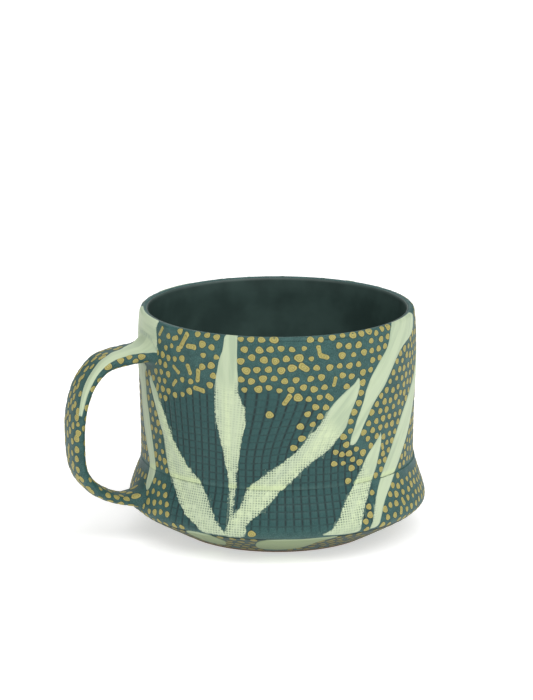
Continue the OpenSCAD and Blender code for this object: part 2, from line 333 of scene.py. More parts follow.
def only(piece):
    unselect()
    piece.select_set(True)
    bpy.context.view_layer.objects.active = piece


def loopVerts(piece):
    out = np.empty(len(piece.data.loops), int)
    piece.data.loops.foreach_get("vertex_index", out)
    return out


def putMap(piece, name, pairs):
    # pairs gives u and v for each vertex
    layer = piece.data.uv_layers.new(name=name)
    layer.data.foreach_set("uv", np.asarray(pairs, float)[loopVerts(piece)].ravel())


def putValue(piece, name, values):
    layer = piece.data.attributes.new(name, "FLOAT", "POINT")
    layer.data.foreach_set("value", np.asarray(values, float))


def finishPiece(piece, angle, finish, slot, *nodes):
    # edges that turn less than the angle look smooth
    only(piece)
    bpy.ops.object.shade_smooth_by_angle(angle=math.radians(angle))
    piece.data.materials.clear()
    piece.data.materials.append(finish)
    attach(piece, "root")
    if nodes:
        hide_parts(*nodes)


def drawnLine(name, points):
    # a line of points in the XZ plane, drawn by extruding one vertex
    unselect()
    bpy.ops.mesh.primitive_plane_add(size=mm)
    piece = bpy.context.object
    piece.name = piece.data.name = name
    startEdit()
    bpy.ops.mesh.merge(type="CENTER")
    steps = np.diff(np.vstack([[0, 0], points]), axis=0) * mm
    bpy.ops.transform.translate(value=(steps[0][0], 0, steps[0][1]))
    for step in steps[1:]:
        bpy.ops.mesh.extrude_region_move(TRANSFORM_OT_translate={"value": (step[0], 0, step[1])})
    stopEdit()
    return piece


def turnedPiece(name, points, columns):
    # a closed outline of radius and height in mm, spun round the axis
    piece = drawnLine(name, np.vstack([points, points[:1]]))
    startEdit()
    bpy.ops.mesh.remove_doubles(threshold=1e-6)
    bpy.ops.mesh.select_all(action="SELECT")
    bpy.ops.mesh.spin(steps=columns, angle=2 * math.pi, center=(0, 0, 0), axis=(0, 0, 1))
    bpy.ops.mesh.select_all(action="SELECT")
    bpy.ops.mesh.remove_doubles(threshold=1e-6)
    bpy.ops.mesh.normals_make_consistent(inside=False)
    stopEdit()
    return piece


def spread(points, step):
    # the same line with its points about step mm apart
    run = np.concatenate([[0], np.cumsum(np.hypot(*np.diff(points, axis=0).T))])
    at = np.linspace(0, run[-1], max(2, int(round(run[-1] / step)) + 1))
    return np.stack([np.interp(at, run, points[:, 0]), np.interp(at, run, points[:, 1])], 1)


class Wire:
    def __init__(self, finish, socket):
        self.finish, self.socket = finish, socket

    def maths(self, operation, other=None, flipped=False):
        pair = [self] if other is None else [other, self] if flipped else [self, other]
        return self.finish.node("ShaderNodeMath", {"operation": operation}, dict(enumerate(pair)))

    def __add__(self, other):
        return self.maths("ADD", other)

    def __radd__(self, other):
        return self.maths("ADD", other, True)

    def __sub__(self, other):
        return self.maths("SUBTRACT", other)

    def __rsub__(self, other):
        return self.maths("SUBTRACT", other, True)

    def __mul__(self, other):
        return self.maths("MULTIPLY", other)

    def __rmul__(self, other):
        return self.maths("MULTIPLY", other, True)


class Finish:
    def __init__(self, name):
        self.material = bpy.data.materials.new(name)
        self.material.use_nodes = True
        self.tree = self.material.node_tree
        self.tree.nodes.clear()
        self.spot = self.node("ShaderNodeTexCoord", out="Object")
        self.colour = None

    def node(self, kind, settings=None, sockets=None, out=0):
        made = self.tree.nodes.new(kind)
        for key, value in (settings or {}).items():
            setattr(made, key, value)
        for key, value in (sockets or {}).items():
            if isinstance(value, Wire):
                self.tree.links.new(value.socket, made.inputs[key])
            else:
                made.inputs[key].default_value = value
        return Wire(self, made.outputs[out] if made.outputs else None)

    def mapped(self, name):
        return self.node("ShaderNodeUVMap", {"uv_map": name})

    def value(self, name):
        return self.node("ShaderNodeAttribute", {"attribute_name": name}, out="Fac")

    def parts(self, vector):
        split = self.node("ShaderNodeSeparateXYZ", sockets={"Vector": vector})
        node = split.socket.node
        return [Wire(self, node.outputs[i]) for i in range(3)]

    def noise(self, scale, detail, rough, vector=None):
        return self.node("ShaderNodeTexNoise", None, {
            "Vector": vector or self.spot, "Scale": scale, "Detail": detail, "Roughness": rough})

    def stretched(self, vector, scale):
        return self.node("ShaderNodeMapping", sockets={"Vector": vector, "Scale": scale})

    def band(self, x, low, high):
        # 0 below low and 1 above high, eased
        return self.node("ShaderNodeMapRange", {"interpolation_type": "SMOOTHSTEP"}, {
            "Value": x, "From Min": low, "From Max": high})

    def mix(self, share, a, b):
        # inputs 6 and 7 and output 2 are the node's colour sockets
        return self.node("ShaderNodeMix", {"data_type": "RGBA"}, {0: share, 6: a, 7: b}, out=2)

    def lay(self, share, top):
        self.colour = self.mix(share, self.colour, top)

    def thread(self, x, wide):
        # 1 on each whole number, falling off over wide
        near = (x - x.maths("ROUND")).maths("ABSOLUTE")
        return 1 - self.band(near, 0.0, wide)

    def bump(self, height, depth, under=None):
        sockets = {"Height": height, "Strength": 1.0, "Distance": depth}
        if under:
            sockets["Normal"] = under
        return self.node("ShaderNodeBump", None, sockets)

    def surface(self, sockets):
        shader = self.node("ShaderNodeBsdfPrincipled", None, sockets)
        self.node("ShaderNodeOutputMaterial", None, {"Surface": shader})
        return self.material

    def slip(self, rough, normal, shine=0.4):
        return self.surface({
            "Base Color": self.colour, "Roughness": rough, "Normal": normal, "Specular IOR Level": shine})


def shade(red, green, blue):
    # a colour in the usual 0 to 255 steps, as the renderer's linear one
    steps = (red / 255, green / 255, blue / 255)
    linear = [c / 12.92 if c <= 0.04045 else ((c + 0.055) / 1.055) ** 2.4 for c in steps]
    return (*linear, 1.0)


teal = {
    "deep": shade(38, 75, 73),
    "full": shade(54, 94, 90),
    "pressed": shade(29, 71, 71),
    "line": shade(8, 24, 25),
    # paler teal for worn grains and specks, and for the painted highlight above the seam
    "worn": shade(90, 126, 119),
    # painted shade under the turned edge
    "low": shade(26, 46, 42),
    "rough": 0.62,
}
pale = {
    "full": shade(193, 207, 175),
    "bright": shade(204, 218, 179),
    "thin": shade(152, 171, 147),
    "under": shade(98, 128, 114),
    # slip pooled on the seam's ridge, painted lighter as a highlight as well
    "pooledAndHighlight": shade(204, 220, 164),
    # painted shade under the turned edge
    "low": shade(112, 128, 86),
    "rough": 0.58,
}
khaki = {
    "full": shade(176, 167, 99),
    "ring": shade(126, 118, 60),
    "speck": shade(106, 98, 52),
    "halo": shade(26, 48, 44),
    # painted shade under the turned edge
    "low": shade(112, 106, 56),
    "rough": 0.6,
}
glaze = {
    "deep": shade(47, 66, 62),
    "full": shade(62, 84, 79),
    "rough": 0.4,
}
underShadeHeight = (0.0084, 0.0104)   # below this the slips are painted darker, as shade under the turned edge
clay = {"full": shade(128, 108, 86), "dark": shade(96, 80, 62), "rough": 0.8}


def paintedUnderShade(f):
    # 1 under the turned edge, where the slips get painted shade
    return 1 - f.band(f.parts(f.spot)[2], *underShadeHeight)


def tealFinish(withNet):
    f = Finish("tealSlipWithNet" if withNet else "tealSlip")
    cloud = f.noise(260, 3, 0.6)
    grain = f.noise(2600, 2, 0.7)
    speck = f.band(f.noise(1500, 1, 0.5), 0.66, 0.74)
    f.colour = f.mix(f.band(cloud * 0.5 + grain * 0.5, 0.35, 0.65), teal["deep"], teal["full"])
    f.lay(f.band(grain, 0.52, 0.72) * 0.22, teal["worn"])
    f.lay(f.band(grain, 0.48, 0.3) * 0.3, teal["line"])
    # painted shade under the turned edge
    f.lay(paintedUnderShade(f) * 0.7, teal["low"])
    normal = f.bump(grain * 0.6 + cloud * 0.4, 0.00006)
    if withNet:
        here = f.value("net")
        u, v, _ = f.parts(f.mapped("threads"))
        patchy = f.band(f.noise(420, 2, 0.6), 0.25, 0.62)
        up = f.thread(u, 0.2) * (1 - f.thread(v, 0.2) * 0.7) * (patchy * 0.4 + 0.6)
        across = f.thread(v, 0.15) * patchy * f.value("cross") * 0.7
        lines = here * (up + across - up * across)
        fine = f.thread(u * 3, 0.5) * 0.6 + f.thread(v * 3, 0.5) * 0.4
        f.lay(here * 0.75, teal["pressed"])
        f.lay(here * fine * 0.3 * patchy, teal["full"])
        f.lay(lines * 0.9, teal["line"])
        f.lay(speck * (1 - here) * 0.35, teal["worn"])
        # a lighter ring just above the seam: painted highlight where the ledge catches the light
        ring = f.band(v, -0.2, 0.25) * (1 - f.band(v, 0.3, 0.75))
        f.lay(ring * (patchy * 0.5 + 0.2) * 0.3, teal["worn"])
        normal = f.bump((fine * 0.35 - up - across * 0.6) * here, 0.00012, normal)
    rough = teal["rough"] - 0.12 * cloud
    return f.slip(rough, normal)


def paleFinish():
    f = Finish("paleLeafSlip")
    here = f.value("net")
    edge = f.value("edge")
    u, v, _ = f.parts(f.mapped("threads"))
    stroke = f.mapped("brush")
    streak = f.noise(1.0, 3, 0.6, f.stretched(stroke, (0.05, 1.6, 1)))
    wide = f.noise(1.0, 2, 0.5, f.stretched(stroke, (0.03, 0.3, 1)))
    grain = f.noise(2200, 2, 0.6)
    f.colour = f.mix(f.band(wide, 0.35, 0.65), pale["full"], pale["bright"])
    f.lay(f.band(streak, 0.52, 0.75) * 0.4, pale["thin"])
    f.lay((1 - f.band(edge, 0.0, 0.45)) * f.band(streak, 0.3, 0.6) * 0.55, pale["under"])
    f.lay((1 - here) * (0.15 + 0.5 * f.band(wide, 0.4, 0.65)), pale["thin"])
    patch = f.band(f.noise(420, 2, 0.6), 0.28, 0.58)
    nearEdge = 1 - f.band(edge, 0.5, 3.0)
    stray = f.noise(700, 2, 0.6) * 0.4
    hole = (1 - f.thread(u * 3 + stray, 0.4)) * (1 - f.thread(v * 3 + stray, 0.4))
    f.lay(hole * patch * (f.value("weave") * 0.55 + here * nearEdge * 0.45), teal["pressed"])
    torn = edge - (f.noise(1100, 2, 0.7) - 0.36) * 2.6
    f.lay((1 - f.band(torn, -0.08, 0.12)) * here * 0.9, teal["pressed"])
    grooves = f.thread(u, 0.16) * 0.6 + f.thread(v, 0.14) * 0.5
    f.lay(grooves * here * f.band(wide, 0.35, 0.6) * 0.4, pale["thin"])
    # slip pooled on the seam's ridge, painted lighter as a highlight as well
    poolAndHighlight = f.band(v, -0.2, 0.3) * (1 - f.band(v, 0.45, 1.1))
    f.lay(poolAndHighlight * 0.5, pale["pooledAndHighlight"])
    # a dark line along the seam on the leaves: painted shade under the ledge
    seamShade = (1 - f.band(v.maths("ABSOLUTE"), 0.03, 0.12)) * f.band(f.noise(700, 1, 0.5), 0.4, 0.55)
    f.lay(seamShade * f.value("seam") * 0.65, teal["line"])
    # painted shade under the turned edge
    f.lay(paintedUnderShade(f) * 0.85, pale["low"])
    normal = f.bump(streak * 0.5 + grain * 0.3 - hole * here * 0.35, 0.00007)
    rough = pale["rough"] - 0.1 * wide
    return f.slip(rough, normal)


def khakiFinish():
    f = Finish("khakiDots")
    u, v, _ = f.parts(f.mapped("disc"))
    radius = (u * u + v * v).maths("SQRT")
    at = radius + (f.noise(1300, 2, 0.5) * 0.16 - 0.08)
    ring = f.band(at, 0.36, 0.44) * (1 - f.band(at, 0.48, 0.58))
    f.colour = f.mix(f.band(f.noise(900, 2, 0.6), 0.3, 0.75) * 0.35, khaki["full"], khaki["ring"])
    f.lay(ring * 0.75, khaki["ring"])
    f.lay((1 - f.band(at, 0.02, 0.17)) * 0.8, khaki["speck"])
    # painted shade under the turned edge
    f.lay(paintedUnderShade(f) * 0.85, khaki["low"])
    f.lay(f.band(at, 0.8, 0.92), khaki["halo"])
    normal = f.bump(f.noise(2400, 2, 0.6), 0.00004)
    rough = khaki["rough"] + 0.06 * ring
    return f.slip(rough, normal)


def glazeFinish():
    f = Finish("darkLinerGlaze")
    cloud = f.noise(70, 3, 0.55)
    grain = f.noise(1800, 2, 0.6)
    f.colour = f.mix(f.band(cloud, 0.3, 0.7), glaze["deep"], glaze["full"])
    normal = f.bump(cloud * 0.8 + grain * 0.1, 0.00012)
    rough = glaze["rough"] + 0.1 * cloud
    return f.slip(rough, normal, 0.5)


def footFinish():
    f = Finish("wipedFootClay")
    cloud = f.noise(300, 3, 0.6)
    grain = f.noise(2200, 2, 0.7)
    bare = 1 - f.band(f.parts(f.spot)[2] + 0.0006 * (cloud - 0.5), 0.0006, 0.0012)
    stone = f.mix(f.band(grain, 0.35, 0.7), clay["dark"], clay["full"])
    slip = f.mix(f.band(cloud, 0.3, 0.7), teal["deep"], teal["full"])
    rough = teal["rough"] + (clay["rough"] - teal["rough"]) * bare
    f.colour = f.mix(bare, slip, stone)
    return f.slip(rough, f.bump(grain, 0.00008))


tealNet, tealPlain = tealFinish(True), tealFinish(False)
paleSlip, khakiSlip, linerGlaze, footClay = paleFinish(), khakiFinish(), glazeFinish(), footFinish()
print("finishes mixed")

inner = {"cornerRound": 2.5, "cornerIn": 0.4, "columns": 560, "baseColumns": 280, "linerColumns": 200}
lineStep = net["rowPitch"] / net["perRow"]
skirtThick = wallThick + seamLedge
baseShift = body["baseThick"] / math.cos(rise)


def risenHeight(radius):
    return chamfer + (radius - footRadius) * math.tan(rise) + baseShift


def risenRadius(height):
    return footRadius + (height - chamfer - baseShift) / math.tan(rise)


floorHeight = footHeight + body["baseThick"]
cornerRadius = edgeRadius - skirtThick - inner["cornerIn"]
corner = np.array([cornerRadius, risenHeight(cornerRadius)])
cornerLow = corner - inner["cornerRound"] * risen
cornerTop = corner[1] + inner["cornerRound"]
cornerHigh = (outerRadius(cornerTop) - skirtThick, cornerTop)
wallDown = wallCurve[wallCurve[:, 1] < lipCentre[1] - 2 * lipRadius][::-1] - (wallThick, 0)
skirtDown = skirtCurve[skirtCurve[:, 1] > cornerTop + 0.5][::-1] - (skirtThick, 0)
floorEdge = (risenRadius(floorHeight), floorHeight)
clayInside = np.vstack([wallDown, skirtDown, bezier(cornerHigh, corner, corner, cornerLow, 10),
                        [floorEdge], [(0.0, floorHeight)]])


def outerRows(low, high, step):
    # evenly spaced points up the outline between two runs, as radius and height
    at = np.arange(low, high + 1e-6, step)
    return np.stack([radiusAt(at), heightAt(at)], 1)


def carried(points, distance):
    # the same line carried sideways
    d = np.gradient(points, axis=0)
    d /= np.linalg.norm(d, axis=1)[:, None]
    return points + distance * np.stack([d[:, 1], -d[:, 0]], 1)


def shapeOuter(piece, firstRun):
    # leans the mesh with the threads, presses the net in, and maps both
    c = coordsOf(piece) / mm
    radius = np.hypot(c[:, 0], c[:, 1])
    run = np.clip(runAt(c[:, 2]), firstRun, topRun)
    outer = (radius > outerRadius(c[:, 2]) - 0.6) & (c[:, 2] < lipCentre[1] + 0.01)
    a = wrapped(np.degrees(np.arctan2(c[:, 1], c[:, 0])) - body["front"])
    lean, bow = leanOf(a, run), bowOf(a, run)
    inBody = outer & (run > firstRun + 0.1)
    newRun = np.where(inBody & (run < topRun - 3) & (np.abs(run - seamRun) > 0.4), run + bow, run)
    strength = netAt(a + lean, newRun)
    lift = -reliefAt(a, run, strength)
    placed = onBody(a + lean, newRun, lift) * mm
    c = np.where(inBody[:, None], placed, coordsOf(piece))
    putCoords(piece, c)
    putValue(piece, "net", np.where(outer, strength, 0))
    putValue(piece, "cross", 1 - 0.55 * smooth(run, seamRun + 12, seamRun + 32) * (a < 20) * (a > -60))
    loops = loopVerts(piece)
    u = a[loops]
    if len(loops) == 4 * len(piece.data.polygons):
        # a face that crosses the back keeps its corners together
        u = u.reshape(-1, 4)
        u = np.where((u.max(1) - u.min(1) > 180)[:, None] & (u < 0), u + 360, u).ravel()
    layer = piece.data.uv_layers.new(name="threads")
    pairs = np.stack([u / pitchUp, ((run - seamRun) / net["rowPitch"])[loops]], 1)
    layer.data.foreach_set("uv", pairs.ravel())


lapLow = seamHeight - body["lap"]
jointHeight = edgeHeight - body["baseJoint"]
tongue = waistRadius - wallThick / 2


def makeWall():
    rows = outerRows(seamRun + 0.03, runAt(lipCentre[1]), lineStep)
    lip = arc(lipCentre, lipRadius, 8, 180, 16)
    points = np.vstack([rows, lip, spread(wallDown, 4)[1:],
                        [(waistRadius - wallThick - 0.1, lapLow), (tongue, lapLow), (tongue, seamHeight)]])
    piece = turnedPiece("wall", points, inner["columns"])
    shapeOuter(piece, seamRun)
    finishPiece(piece, 50, tealNet, "teal_stoneware", "upper_wall")


def makeSkirt():
    rows = outerRows(seamRun - lineStep * 43, seamRun - 0.3, lineStep)
    rows = rows[rows[:, 1] > jointHeight]
    top = [(skirtTop - 0.12, seamHeight - 0.02), (waistRadius - 0.05, seamHeight + 0.12),
           (tongue + 0.05, seamHeight), (tongue + 0.05, lapLow)]
    inside = spread(skirtDown[skirtDown[:, 1] < lapLow], 4)
    points = np.vstack([[(outerRadius(jointHeight), jointHeight)], rows, top, inside,
                        [(risenRadius(jointHeight + 0.2), jointHeight + 0.2)]])
    piece = turnedPiece("skirt", points, inner["columns"])
    shapeOuter(piece, runAt(jointHeight))
    finishPiece(piece, 50, tealNet, "teal_stoneware", "flared_skirt")


def makeBase():
    rows = outerRows(runAt(footHeight), runAt(jointHeight), 0.7)
    under = spread(np.array([(0.0, footHeight), (footRadius - 1, footHeight)]), 4)
    top = [(risenRadius(jointHeight), jointHeight), floorEdge, (0.0, floorHeight)]
    points = np.vstack([under, rows, top])
    piece = turnedPiece("baseDish", points, inner["baseColumns"])
    finishPiece(piece, 40, tealPlain, "teal_stoneware", "base_dish")


def makeFoot():
    outside = footRadius - chamfer
    inside = outside - body["footWide"]
    points = np.vstack([
        arc((inside + 0.5, 0.5), 0.5, 180, 270, 5), arc((outside - 0.5, 0.5), 0.5, 270, 340, 5),
        [(footRadius, 0.75), (outerRadius(footHeight), footHeight), (inside, footHeight)]])
    piece = turnedPiece("footRing", points, inner["baseColumns"])
    finishPiece(piece, 40, footClay, "teal_stoneware", "foot_ring")


def makeLiner():
    start = arc(lipCentre, lipRadius, 132, 180, 8)
    line = np.vstack([start, spread(clayInside, 1.2)])
    for _ in range(3):
        line[9:-1] = (line[8:-2] + 2 * line[9:-1] + line[10:]) / 4
    face = carried(line, body["glaze"])
    face[-1, 0] = 0
    face[0] = line[0] + (face[1] - line[1]) * 0.4
    points = np.vstack([line, face[::-1]])
    piece = turnedPiece("liner", points, inner["linerColumns"])
    finishPiece(piece, 60, linerGlaze, "liner_glaze", "liner_glaze")


makeWall()
makeSkirt()
makeBase()
makeFoot()
makeLiner()
print("body turned")

handle = {
    "reach": 25.6,
    "top": 66.4,
    "low": 13.5,
    "wide": 16.5,
    "thick": 5.4,
    "topFillet": 4.3,
    "underFillet": 1.2,
    "lowFillet": 1.5,
    "lowInside": 9.5,
    "lowRise": 4.6,
    "lowWide": 0.6,
    "lowThick": 0.55,
    # the middle line as shares of the reach and the rise, then shares of the width and thickness
    "rows": [
        (0.09, 1, 1, 1), (0.18, 0.997, 0.98, 0.99), (0.28, 0.99, 0.97, 0.98), (0.5, 0.972, 0.96, 0.97),
        (0.68, 0.93, 0.95, 0.96), (0.86, 0.82, 0.95, 0.95), (0.965, 0.67, 0.94, 0.95), (1, 0.5, 0.92, 0.93),
        (0.96, 0.263, 0.85, 0.85), (0.79, 0.136, 0.76, 0.76), (0.6, 0.072, 0.7, 0.68),
        (0.42, 0.036, 0.66, 0.62), (0.26, 0.015, 0.64, 0.58)],
    "sides": 48,
    "half": 7,             # spans: where the upper fillet gives way to the lower
    "lowFrom": 11,
    "proud": 0.04,
    "bend": 6,             # mm from the body where the section starts to follow it
    # spans where the mesh has its rings near the two ends
    "first": [0, 0.03, 0.1, 0.2, 0.34, 0.55, 0.8, 1.1, 1.5, 2, 2.5],
    "final": [13.2, 13.35, 13.5, 13.62, 13.72, 13.8, 13.87, 13.92, 13.96, 14.0],
}


strapLine = np.array(
    [(outerRadius(handle["top"]), handle["top"], handle["wide"] / 2, handle["thick"] / 2)]
    + [(wallRadius + s[0] * handle["reach"], handle["low"] + s[1] * (handle["top"] - handle["low"]),
        s[2] * handle["wide"] / 2, s[3] * handle["thick"] / 2) for s in handle["rows"]]
    + [(outerRadius(handle["low"]), handle["low"], handle["lowWide"] * handle["wide"] / 2,
        handle["lowThick"] * handle["thick"] / 2)])
strapEnd = len(strapLine) - 1.0


def strapAt(t):
    # the strap's middle line at t spans from its upper end
    t = np.clip(t, 0, strapEnd)
    i = np.minimum(t.astype(int), int(strapEnd) - 1)
    f = (t - i)[..., None]
    a, b = strapLine[np.maximum(i - 1, 0)], strapLine[i]
    c, d = strapLine[i + 1], strapLine[np.minimum(i + 2, int(strapEnd))]
    return 0.5 * (2 * b + (c - a) * f + (2 * a - 5 * b + 4 * c - d) * f ** 2
                  + (3 * b - a - 3 * c + d) * f ** 3)


def eased(x):
    return np.sign(x) * np.abs(x) ** 0.8


def filletAt(s, r):
    near = np.clip(s, 0, r)
    return r - np.sqrt(np.maximum(r * r - (r - near) ** 2, 0))


def onStrap(t, angle, lift):
    # t spans along the strap, angle round its section with 90 on the outside
    t, angle = np.asarray(t, float), np.radians(np.asarray(angle, float))
    s = strapAt(t)
    d = strapAt(t + 0.02)[..., :2] - strapAt(t - 0.02)[..., :2]
    d /= np.linalg.norm(d, axis=-1)[..., None]
    first, final = strapAt(np.zeros(1))[0], strapAt(np.full(1, strapEnd))[0]
    fromTop = np.hypot(s[..., 0] - first[0], s[..., 1] - first[1])
    fromLow = np.hypot(s[..., 0] - final[0], s[..., 1] - final[1])
    toBody = np.minimum(fromTop, fromLow)
    topShare = 0.5 + 0.5 * np.sin(angle)
    upper = handle["underFillet"] + (handle["topFillet"] - handle["underFillet"]) * topShare
    inside = np.maximum(-np.sin(angle), 0)
    lower = handle["lowFillet"] + (handle["lowInside"] - handle["lowFillet"]) * inside
    for _ in range(5):
        high = s[..., 1] + (s[..., 3] + filletAt(fromLow, lower)) * inside
        clear = np.maximum(s[..., 0] - outerRadius(high), 0)
        fromLow = np.where(t > handle["lowFrom"], (fromLow + clear) / 2, fromLow)
    half = handle["half"]
    over = filletAt(fromTop, upper) * (t < half) + filletAt(fromLow, lower) * (t > half)
    over = over + lift + handle["proud"]
    y = (s[..., 2] + over) * eased(np.cos(angle))
    n = (s[..., 3] + over) * eased(np.sin(angle))
    out, z = s[..., 0] - n * d[..., 1], s[..., 1] + n * d[..., 0]
    # close to the body the section bends round with the wall
    wall = outerRadius(z)
    out = out - (1 - smooth(toBody, 0, handle["bend"])) * (wall - np.sqrt(np.maximum(wall ** 2 - y ** 2, 1)))
    return np.stack([-out, y, z], -1)


def sheetPiece(name, columns, rows):
    # a flat grid whose points are then carried on to a surface; gives each point's place, 0 to 1
    unselect()
    bpy.ops.mesh.primitive_grid_add(x_subdivisions=columns, y_subdivisions=rows, size=1)
    piece = bpy.context.object
    piece.name = piece.data.name = name
    c = coordsOf(piece) + 0.5
    return piece, c[:, 0], c[:, 1]


def makeStrap():
    piece, across, along = sheetPiece("handleStrap", handle["sides"], 150)
    stations = np.concatenate([handle["first"], np.linspace(2.6, 13, 120), handle["final"]])
    t = np.interp(along, np.linspace(0, 1, len(stations)), stations)
    c = onStrap(t, across * 360, 0)
    # both ends run on to the body and a little way into it
    lowEnd = t > strapEnd - 1e-6
    c[lowEnd, 2] += handle["lowRise"] * np.maximum(-np.sin(np.radians(across[lowEnd] * 360)), 0)
    for end in (t < 1e-6, lowEnd):
        reach = np.sqrt(np.maximum(outerRadius(c[end, 2]) ** 2 - c[end, 1] ** 2, 1)) - 0.5
        c[end, 0] = -reach
    putCoords(piece, c * mm)
    only(piece)
    startEdit()
    bpy.ops.mesh.remove_doubles(threshold=2e-6)
    bpy.ops.mesh.select_all(action="DESELECT")
    bpy.ops.mesh.select_mode(type="EDGE")
    bpy.ops.mesh.select_non_manifold()
    bpy.ops.mesh.fill_holes(sides=0)
    bpy.ops.mesh.select_all(action="SELECT")
    bpy.ops.mesh.normals_make_consistent(inside=False)
    bpy.ops.mesh.select_mode(type="VERT")
    stopEdit()
    finishPiece(piece, 70, tealPlain, "teal_stoneware",
                "handle_strap", "handle_upper_weld", "handle_lower_weld")


makeStrap()
print("handle swept")

leaves = {
    "cell": 0.26,          # mesh size
    "thick": 0.2,
    "edgeThick": 0.05,
    "depth": 0.16,
    "vary": 0.0006,        # how the thickness steps from leaf to leaf, and where it wraps
    "varyMost": 0.05,
    "threadGap": 0.8,      # the fine threads that tear the edges
    "around": 2.5,         # how far each grid reaches past its outline
    "brushWide": 0.9,      # mm in from the edge to the full thickness
}
# each outline goes round a leaf by angle from the front and level
leafShapes = {
    "leafCentre": [
        (-21.3, 3.02), (-22.6, 2.91), (-24.2, 2.81), (-26.1, 2.61), (-26.2, 2.51), (-24, 2.31),
        (-22.2, 2.19), (-20.2, 2), (-18.9, 1.5), (-18.9, 1.12), (-16.6, 1.12), (-16.9, 1.5), (-16.4, 2.06),
        (-15, 2.19), (-13.5, 2.33), (-12.4, 2.41), (-12.4, 2.53), (-14.9, 2.62), (-16.1, 2.79),
        (-16.5, 3.02)],
    "leafLeft": [
        (-64.8, 2.6), (-63.4, 2.54), (-60.2, 2.44), (-57, 2.33), (-54.2, 2.24), (-51.6, 2.05),
        (-46.3, 1.76), (-39.2, 1.3), (-32.5, 1.03), (-29, 0.86), (-19.5, 0.84), (-19.8, 0.98), (-22, 1.15),
        (-26.7, 1.57), (-33.3, 2.03), (-39, 2.11), (-47.2, 2.26), (-52.6, 2.41), (-57.6, 2.52),
        (-61.6, 2.59), (-63.4, 2.63)],
    "leafRight": [
        (34.6, 2.7), (32.6, 2.67), (28.3, 2.62), (23.8, 2.56), (19.6, 2.48), (11.3, 2.33), (5.2, 2.23),
        (-11, 2.03), (-14.6, 1.64), (-18, 1.35), (-20, 1.04), (-20.5, 0.84), (-13.5, 0.84), (-11.2, 1.02),
        (-10.6, 1.2), (-2.7, 1.67), (5.3, 2.04), (13.5, 2.16), (22, 2.25), (28.6, 2.38), (30.8, 2.47),
        (33.8, 2.57), (35.3, 2.65)],
    "leafRim": [
        (56.7, 3.02), (51.3, 2.87), (41.6, 2.7), (36.6, 2.52), (31.5, 2.31), (31, 2.26), (34.5, 2.28),
        (40.9, 2.47), (49.4, 2.62), (60.2, 2.81), (74.6, 2.89), (77, 3.02)],
    "leafLowRight": [
        (47.4, 2.31), (46.6, 2.28), (38.9, 2.15), (33.8, 2.03), (27.9, 1.68), (24, 1.3), (20.5, 1.04),
        (18, 0.88), (31.5, 0.83), (33.8, 1.04), (36.1, 1.37), (41.4, 1.9), (45.7, 2.11), (48, 2.25)],
    "leafFarRight": [
        (88, 2.72), (80, 2.6), (69.8, 2.48), (61.9, 2.34), (55.6, 2.19), (49.2, 2.04), (42, 1.51),
        (37.8, 0.95), (39, 0.85), (42, 0.93), (45.6, 1.36), (54.2, 1.86), (64.8, 2.12), (74.5, 2.29),
        (84, 2.48), (92, 2.6), (96, 2.72)],
    "leafByHandle": [
        (-92, 2.68), (-88, 2.62), (-78.5, 2.52), (-77.3, 2.41), (-74.7, 2.27), (-70.3, 2.13), (-67.4, 2.04),
        (-67.2, 1.9), (-66.4, 1.7), (-64.5, 1.5), (-62, 1.55), (-61, 1.9), (-61.3, 2.04), (-63.1, 2.13),
        (-65.6, 2.27), (-68, 2.41), (-69.3, 2.52), (-69.8, 2.62), (-70, 2.68)],
    "leafHandleRoot": [
        (-88, 3.02), (-88, 2.9), (-86, 2.8), (-82, 2.76), (-62, 2.76), (-59.6, 2.79), (-58.3, 2.83),
        (-58, 2.88), (-59.5, 2.95), (-61.5, 3.02)],
    "leafUnderLeft": [
        (-37, 0.8), (-39, 0.6), (-38, 0.25), (-28, 0.2), (-23, 0.45), (-25, 0.72), (-30, 0.82)],
    "leafUnderFront": [
        (-6, 0.72), (-8.5, 0.2), (10, 0.2), (18, 0.6), (24, 0.78), (12, 0.78)],
}
# leafByHandle stands for the node leaf_by_handle, and so on
leafNodes = {name: "".join("_" + c.lower() if c.isupper() else c for c in name) for name in leafShapes}
backNodes = {
    "leafCentre": "leaf_back_centre", "leafLeft": "leaf_back_left", "leafRight": "leaf_back_right",
    "leafRim": "leaf_back_rim", "leafLowRight": "leaf_back_low",
}
flatLeaves = {name: flatShape(points) for name, points in leafShapes.items()}
chance = np.random.default_rng(7)
wobbles = chance.random(4096)


def slopesOf(field, u, v, du, dv):
    # how fast a field changes, per mm, across a place and up it
    return np.stack([field(u + du, v) - field(u - du, v), field(u, v + dv) - field(u, v - dv)], 1) / (2 * dv)


def roughLine(x, seed):
    # smooth random values from 0 to 1 along a line
    i = np.floor(x).astype(int)
    f = x - i
    f = f * f * (3 - 2 * f)
    return wobbles[(i + seed) % 4096] * (1 - f) + wobbles[(i + 1 + seed) % 4096] * f


def leafField(u, v, shape, turn, seed):
    angle = u / degree
    a, b = netCoords(angle + turn, v)
    here = netAt(angle + turn, v)
    x, y = a * degree / leaves["threadGap"], (b - seamRun) / leaves["threadGap"]
    teeth = 0.7 * (roughLine(x, seed) - 0.5) + 1.3 * np.maximum(roughLine(x, seed + 900) - 0.7, 0) / 0.3
    steps = 0.4 * (roughLine(y, seed + 1700) - 0.5)
    hand = 0.25 * (roughLine(v / 3.1, seed + 2500) - 0.5) + 0.25 * (roughLine(u / 3.4, seed + 3000) - 0.5)
    return insideDistance(u, v, shape) + here * (teeth + steps - 0.2) + hand


def edgePoints(piece):
    loops = np.empty(len(piece.data.loops), int)
    piece.data.loops.foreach_get("edge_index", loops)
    counts = np.bincount(loops, minlength=len(piece.data.edges))
    ends = np.empty(len(piece.data.edges) * 2, int)
    piece.data.edges.foreach_get("vertices", ends)
    return np.unique(ends.reshape(-1, 2)[counts == 1])


